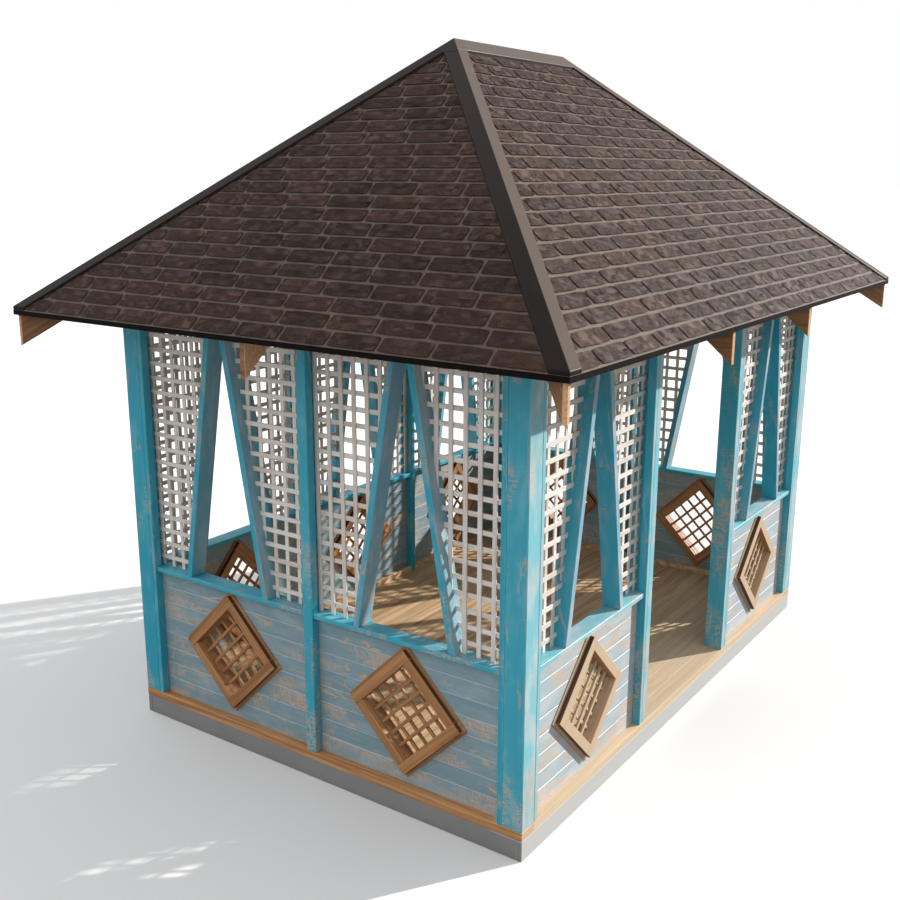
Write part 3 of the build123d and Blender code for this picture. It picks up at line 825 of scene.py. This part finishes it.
# %% [markdown]
# ## Diamond windows
# A window is a square frame outside the panel and another inside, with a grille of crossed
# bars between. Each frame is two rings of butted members: a thin, wider ring flat on the
# boards, and a thicker one on it whose outer sides are painted dark brown as painted shade,
# so a narrow ledge shows all round. The bars lie in two layers: rising bars outside, falling bars
# behind them.
# Everything is square while it lies on the bench, and is turned by 45 degrees only when it
# is set in its wall.

# %% The window's members and bars
window_side = 0.440
ledge = 0.016
thin_ring = 0.008
frame_depth = 0.032
bar_count = 4
bar_face = 0.016
bar_depth = panel_thickness / 2
bar_pitch = opening / (bar_count + 1)
hairline = 0.0002
quarter = turned(90)


def ring_of_members(side, depth, level):
    """Four butted members around the opening, with their backs at a level."""
    face = (side - opening) / 2
    at = (side - face) / 2
    middle = level + depth / 2
    long_member = stick("long_member", (side, face, depth), 0.002)
    short_member = stick("short_member", (opening - 2 * hairline, face, depth), 0.002)
    ring = set_out("ring", [
        (long_member, moved(0, -at, middle)),
        (long_member, moved(0, at, middle)),
        (short_member, moved(-at, 0, middle) @ quarter),
        (short_member, moved(at, 0, middle) @ quarter),
    ])
    put_away(long_member, short_member)
    return ring


rings = [
    ring_of_members(window_side + 2 * ledge, thin_ring, 0),
    ring_of_members(window_side, frame_depth - thin_ring, thin_ring),
]
# The thicker ring's outer sides take the second finish, dark brown painted shade.
for face in rings[1].data.polygons:
    from_middle = max(abs(face.center.x), abs(face.center.y))
    face.material_index = int(from_middle > window_side / 2 - 0.0005)
bar = stick("bar", (opening, bar_face, bar_depth - hairline), 0.001)
bar_places = [(n - (bar_count - 1) / 2) * bar_pitch for n in range(bar_count)]
outer_layer = -panel_face - bar_depth / 2
inner_layer = -panel_back + bar_depth / 2
grille = [(bar, moved(0, at, outer_layer)) for at in bar_places]
grille += [(bar, moved(at, 0, inner_layer) @ quarter) for at in bar_places]
print("window members", [len(ring.data.polygons) for ring in rings], "bars", len(grille))

# %% Set the windows in their bays
window_places = [
    walls[wall] @ moved(centre, window_height, 0) @ turned(45)
    for wall, found in bays.items()
    for centre, width in found
]
on_the_face = moved(0, 0, -panel_face)
on_the_back = moved(0, 0, -panel_back) @ Matrix.Rotation(math.pi, 4, "X")
outer_frames = set_out("window_frames_outside", [
    (ring, place @ on_the_face) for place in window_places for ring in rings
])
inner_frames = set_out("window_frames_inside", [
    (ring, place @ on_the_back) for place in window_places for ring in rings
])
grilles = set_out("window_grille_bars", [
    (member, place @ at) for place in window_places for member, at in grille
])
put_away(bar, *rings)
finish_piece(outer_frames, [frame_timber, frame_sides_painted_shade], "outer_window_frames")
finish_piece(inner_frames, [frame_timber, frame_sides_painted_shade], "inner_window_frames")
finish_piece(grilles, [frame_timber], "window_grilles")

# %% [markdown]
# ## Trellis laths
# The trellis is nailed up from thin sawn laths, uprights in one layer and rails in the
# other, and the slanted boards cut it off. The CAD bars keep to the same lines but are
# stouter, so that they hold together. Here each lath is a slim stick of its own: half a bay
# is laid out on the bench, sawn along the slanted board, and copied to its walls.

# %% Half a bay of laths
lath_width = 0.022
lath_thickness = 0.007
laths_meet = -0.068
cad_lath = 0.028
upright_count = 7
uprights_at_sill = 4
rail_count = 18
side_clearance = 0.004
lowest_rail = 0.051
highest_rail = 0.065
slant_head = 0.0495
sill_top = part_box("long_side_sills")[1].z
lattice_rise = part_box("front_trellis")[1].z - sill_top
rail_pitch = (lattice_rise - lowest_rail - highest_rail) / (rail_count - 1)


def half_lattice(width, side, rails_outside):
    """The laths on one side of a bay's slanted boards, on the bench."""
    spacing = (width / 2 - cad_lath / 2 - side_clearance) / upright_count
    foot = uprights_at_sill * spacing - cad_lath / 2
    outer, inner = laths_meet + lath_thickness / 2, laths_meet - lath_thickness / 2
    rail_level, upright_level = (outer, inner) if rails_outside else (inner, outer)
    upright = stick("upright", (lath_width, lattice_rise, lath_thickness), 0.0008)
    rail = stick("rail", (width / 2, lath_width, lath_thickness), 0.0008)
    half_way_up = sill_top + lattice_rise / 2
    nailed = [
        (upright, moved(side * number * spacing, half_way_up, upright_level))
        for number in range(1, upright_count + 1)
    ]
    nailed += [
        (rail, moved(side * width / 4, sill_top + lowest_rail + row * rail_pitch, rail_level))
        for row in range(rail_count)
    ]
    laths = set_out("laths", nailed)
    put_away(upright, rail)
    toward_middle = Vector((-side * lattice_rise, slant_head - foot, 0)).normalized()
    saw_off(laths, Vector((side * foot, sill_top, 0)), toward_middle)
    return laths


print("lattice rise", round(lattice_rise, 3), "rail pitch", round(rail_pitch, 4))

# %% Hang the laths in every bay
for wall, found in bays.items():
    hung = []
    for centre, width in found:
        place = walls[wall] @ moved(centre, 0, 0)
        front_bay_of_end = wall.endswith("_end") and place.translation.y < 0
        for side in (-1, 1):
            hung.append((half_lattice(width, side, not front_bay_of_end), place))
    laths = set_out(f"trellis_laths_{wall}", hung)
    put_away(*(half for half, place in hung))
    finish_piece(laths, [lath_wash], f"{wall}_trellis", f"{wall}_trellis_rails")

# %% [markdown]
# ## The roof's four drawing boards
# A slope is also built flat: X along the eave, Y up the slope and Z out of it, with the
# origin on the eave's upper edge. Pads and boards are laid past the hips and then
# cut off along upright planes over the hip lines, as a roofer trims the covering.

# %% Slopes and the planes that trim them
pitch = math.radians(39.7)
roof_thickness = 0.018
roof_low, roof_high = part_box("roof_front")
reach_y, reach_x = -roof_low.y, roof_high.x
ridge_z = roof_high.z
eave_z = ridge_z - reach_y * math.tan(pitch)
slope_length = reach_y / math.cos(pitch)


def slope_board(outward, along, reach):
    """The matrix that lays a flat drawing on a roof slope."""
    up_slope = -outward * math.cos(pitch) + Vector((0, 0, math.sin(pitch)))
    out = outward * math.sin(pitch) + Vector((0, 0, math.cos(pitch)))
    return along_axes(along, up_slope, out, outward * reach + Vector((0, 0, eave_z)))


slopes = {
    "roof_front": (Vector((0, -1, 0)), Vector((1, 0, 0)), reach_y, reach_x),
    "roof_back": (Vector((0, 1, 0)), Vector((-1, 0, 0)), reach_y, reach_x),
    "roof_left_end": (Vector((-1, 0, 0)), Vector((0, -1, 0)), reach_x, reach_y),
    "roof_right_end": (Vector((1, 0, 0)), Vector((0, 1, 0)), reach_x, reach_y),
}


def trim_to_slope(piece, slope, tuck, eave_margin):
    """Saws a piece off at both hips, at the ridge and at the eave."""
    outward, along, reach, half_eave = slopes[slope]
    inward = -outward
    for side in (-1, 1):
        out = (along * side + inward).normalized()
        corner = outward * reach + along * side * half_eave
        saw_off(piece, corner - out * tuck, out)
    saw_off(piece, outward * (reach - reach_y + tuck), inward)
    saw_off(piece, outward * (reach - eave_margin), outward)


print("slope length", round(slope_length, 3), "eave", round(eave_z, 3))

# %% [markdown]
# ## Sheathing and covering sheet
# A slope is a deck of sawn boards, 13 mm thick, with the bitumen sheet on it. The boards
# show from below between the rafters. The sheet is the top 5 mm of the CAD slope: a copy
# of the node is sawn along a plane parallel to the slope. At the eave the sheet is folded
# down over the boards' edge, so the outer 4 mm of a second copy is joined on below it.

# %% Sawn boards under the covering, and the sheet over them
sheathing_rows = 20
sheathing_thickness = 0.0128
sheathing_joint = 0.002
sheet_thickness = 0.005
fold = 0.004
to_spare = 0.02
below_eave = 0.016
row_height = (slope_length + to_spare) / sheathing_rows
for slope, (outward, along, reach, half_eave) in slopes.items():
    lie = slope_board(outward, along, reach)
    out = lie.to_3x3().col[2]
    size = (2 * half_eave + to_spare, row_height - sheathing_joint, sheathing_thickness)
    board = stick("sheathing", size, 0.0015)
    level = -roof_thickness + sheathing_thickness / 2
    boards = set_out(f"sheathing_{slope}", [
        (board, lie @ moved(0, (row + 0.5) * row_height - below_eave, level))
        for row in range(sheathing_rows)
    ])
    put_away(board)
    trim_to_slope(boards, slope, hairline, fold + hairline)
    finish_piece(boards, [bare_wood])

    sheet = copy_of_node(slope, f"covering_sheet_{slope}")
    saw_off(sheet, lie @ Vector((0, 0, -sheet_thickness)), -out)
    flap = copy_of_node(slope, "flap")
    saw_off(flap, lie @ Vector((0, 0, -sheet_thickness)), out)
    saw_off(flap, outward * (reach - fold), -outward)
    choose(sheet, flap)
    bpy.ops.object.join()
    finish_piece(sheet, [joint_grit, sheet_edge_and_painted_shade], slope)
    # The eave edge and the underside take the near-black finish, which also paints the eave's shade
    # line.
    for face in sheet.data.polygons:
        at_edge = face.center.dot(outward) > reach - fold - hairline / 2
        face.material_index = int(at_edge or face.normal.z < 0)

# %% [markdown]
# ## Raised bricks
# The brick pattern is embossed: each brick is a pad about 5 mm proud of the sheet, with
# ragged edges. A pad is a cube cut into a few cells, its top drawn in and its points
# shaken a little. Eight different pads, turned end for end at random, are enough for the
# eye, and each keeps to a few dozen faces because there are hundreds of them.

# %% Eight pads with ragged edges
course_count = 23
joint = 0.014
brick_length = 0.240
pad_height = 0.0052
pad_foot = -0.001
raggedness = 0.0034
pattern_count = 8
course = slope_length / course_count
brick_height = course - joint
shuffle = random.Random(7)


def select_edges(piece, axis):
    """Selects the edges that run along one axis."""
    bpy.ops.mesh.select_all(action="DESELECT")
    bpy.ops.object.mode_set(mode="OBJECT")
    points = piece.data.vertices
    for edge in piece.data.edges:
        way = (points[edge.vertices[0]].co - points[edge.vertices[1]].co).normalized()
        edge.select = abs(way[axis]) > 0.99
    bpy.ops.object.mode_set(mode="EDIT")


def brick_pad(seed):
    """One embossed brick, flat on the bench with its foot on the sheet."""
    bpy.ops.object.select_all(action="DESELECT")
    bpy.ops.mesh.primitive_cube_add(size=1, location=(0, 0, 0.5))
    pad = bpy.context.object
    pad.scale = (brick_length, brick_height, pad_height)
    bpy.ops.object.transform_apply(location=True, scale=True)
    bpy.ops.object.mode_set(mode="EDIT")
    bpy.ops.mesh.select_mode(type="EDGE")
    select_edges(pad, 0)
    bpy.ops.mesh.subdivide(number_cuts=4)
    select_edges(pad, 1)
    bpy.ops.mesh.subdivide(number_cuts=1)
    bpy.ops.mesh.select_all(action="DESELECT")
    bpy.ops.object.mode_set(mode="OBJECT")
    for point in pad.data.vertices:
        point.select = point.co.z > pad_height / 2
    bpy.ops.object.mode_set(mode="EDIT")
    bpy.ops.mesh.select_mode(type="VERT")
    bpy.ops.transform.resize(value=(0.992, 0.97, 1))
    bpy.ops.mesh.select_all(action="SELECT")
    bpy.ops.transform.vertex_random(offset=raggedness, seed=seed)
    bpy.ops.object.mode_set(mode="OBJECT")
    for point in pad.data.vertices:
        if abs(point.co.x) > 0.46 * brick_length and abs(point.co.y) > 0.4 * brick_height:
            point.co.x *= 0.985
            point.co.y *= 0.94
        low = point.co.z < pad_height / 2
        point.co.z = pad_foot if low else min(max(point.co.z, pad_height * 0.75), pad_height)
    return pad


pads = [brick_pad(seed) for seed in range(pattern_count)]
print("pad faces", len(pads[0].data.polygons), "course", round(course, 4))

# %% Lay the courses in running bond and trim them
tuck_under_caps = 0.048
eave_strip = 0.003
stagger = 0.03
for slope, (outward, along, reach, half_eave) in slopes.items():
    lie = slope_board(outward, along, reach)
    laid = []
    for row in range(course_count):
        middle = (row + 0.5) * course
        half_row = half_eave - row * course * math.cos(pitch)
        start = -half_row - brick_length + (row % 2) * (brick_length + joint) / 2
        start += shuffle.uniform(-stagger, stagger)
        while start < half_row:
            place = lie @ moved(start + brick_length / 2, middle, 0)
            if shuffle.random() < 0.5:
                place = place @ turned(180)
            laid.append((pads[shuffle.randrange(len(pads))], place))
            start += brick_length + joint
    bricks = set_out(f"brick_pads_{slope}", laid)
    trim_to_slope(bricks, slope, tuck_under_caps, eave_strip)
    finish_piece(bricks, [brick_grit])
put_away(*pads)

# %% [markdown]
# ## Hip and ridge caps
# The caps are folded sheet, so their edges are crisp but not knife sharp: a fold has a
# radius of about its own thickness.

# %% The caps
for node, name in (("hip_caps", "caps_over_hips"), ("ridge_cap", "cap_over_ridge")):
    piece = copy_of_node(node, name)
    ease(piece, 0.003, segments=2)
    finish_piece(piece, [cap_coat], node)

# %% [markdown]
# ## Ground, light and background
# The picture is lit by one low, fairly hard sun from +X and -Y, by a soft sky that is bright
# overhead and dim low down, and by a wide soft light from -X and +Y, so that places under
# the eaves and the posts' inner sides stay dark. The floor is a plain plane, nearly white
# to the camera and greyer to the light it throws back, and it keeps the shadow. The world
# shows as white to the camera and to reflections.

# %% The floor
bpy.ops.object.select_all(action="DESELECT")
bpy.ops.mesh.primitive_plane_add(size=400, location=(0, 0, -0.0005))
ground = bpy.context.object
ground.name = "studio_floor"
ground_material, ground_tree, ground_shader = new_material("pale_studio_floor")
seen_by_camera = add_node(ground_tree, "ShaderNodeLightPath").outputs["Is Camera Ray"]
links = {0: seen_by_camera, 6: (0.3, 0.3, 0.3, 1), 7: (0.84, 0.84, 0.84, 1)}
floor_colour = add_node(ground_tree, "ShaderNodeMix", links, **colours)
connect(ground_shader, {"Base Color": floor_colour, "Roughness": 0.95, "Specular IOR Level": 0.0})
ground.data.materials.append(ground_material)

# %% The sun and the sky
sun_elevation = math.radians(25)
sun_turn = math.radians(33.6)
toward_sun = Vector((
    math.cos(sun_turn) * math.cos(sun_elevation),
    -math.sin(sun_turn) * math.cos(sun_elevation),
    math.sin(sun_elevation),
))
bpy.ops.object.light_add(type="SUN")
sun = bpy.context.object
sun.name = "low_sun"
sun.data.energy = 5.0
sun.data.angle = math.radians(0.9)
sun.data.color = (1.0, 0.965, 0.92)
sun.rotation_euler = toward_sun.to_track_quat("Z", "Y").to_euler()

world = bpy.data.worlds.new("soft_sky_bright_overhead")
bpy.context.scene.world = world
world.use_nodes = True
sky_tree = world.node_tree
sky_tree.nodes.clear()
ray = add_node(sky_tree, "ShaderNodeLightPath").outputs
seen = ray["Is Camera Ray"]
for kind in ("Is Glossy Ray", "Is Transmission Ray"):
    seen = add_node(sky_tree, "ShaderNodeMath", {0: seen, 1: ray[kind]}, operation="MAXIMUM")
way_out = add_node(sky_tree, "ShaderNodeTexCoord").outputs["Generated"]
upward = add_node(sky_tree, "ShaderNodeSeparateXYZ", {0: way_out}).outputs["Z"]
overhead = add_node(sky_tree, "ShaderNodeMapRange", {0: upward, 3: 0.1, 4: 0.9})
links = {0: way_out, 1: (-0.8, 0.6, 0.0)}
sideways = add_node(sky_tree, "ShaderNodeVectorMath", links, operation="DOT_PRODUCT")
beside = add_node(sky_tree, "ShaderNodeMapRange", {0: sideways, 3: 0.0, 4: 0.95})
strength = add_node(sky_tree, "ShaderNodeMath", {0: overhead, 1: beside}, operation="ADD")
links = {"Color": (0.975, 0.985, 1.0, 1), "Strength": strength}
fill = add_node(sky_tree, "ShaderNodeBackground", links)
white = add_node(sky_tree, "ShaderNodeBackground", {"Color": (1, 1, 1, 1), "Strength": 1.0})
shown = add_node(sky_tree, "ShaderNodeMixShader", {0: seen, 1: fill, 2: white})
add_node(sky_tree, "ShaderNodeOutputWorld", {"Surface": shown})
print("sun from", [round(v, 2) for v in toward_sun], "sky nodes", len(sky_tree.nodes))

# %% [markdown]
# ## The camera
# The camera stands above head height, off the left corner of the front. Its place and its
# lens were worked out from the object's known corners.

# %% The camera
camera_turn = math.radians(-55.145)
camera_rise = math.radians(14.308)
camera_roll = math.radians(0.164)
camera_place = (-5.3275, -3.3077, 2.8927)
sensor_width = 36
focal_length_in_pixels = 1094.05
picture_width_in_pixels = 900
back = Vector((
    math.sin(camera_turn) * math.cos(camera_rise),
    -math.cos(camera_turn) * math.cos(camera_rise),
    math.sin(camera_rise),
))
right = Vector((0, 0, 1)).cross(back).normalized()
up = back.cross(right)
right, up = (
    right * math.cos(camera_roll) + up * math.sin(camera_roll),
    up * math.cos(camera_roll) - right * math.sin(camera_roll),
)
bpy.ops.object.camera_add()
camera = bpy.context.object
camera.matrix_world = along_axes(right, up, back, camera_place)
camera.data.sensor_width = sensor_width
camera.data.lens = sensor_width * focal_length_in_pixels / picture_width_in_pixels
camera.data.clip_end = 500
bpy.context.scene.camera = camera
print("camera at", camera_place, "lens", round(camera.data.lens, 2))
bpy.context.scene.view_settings.view_transform = "Standard"
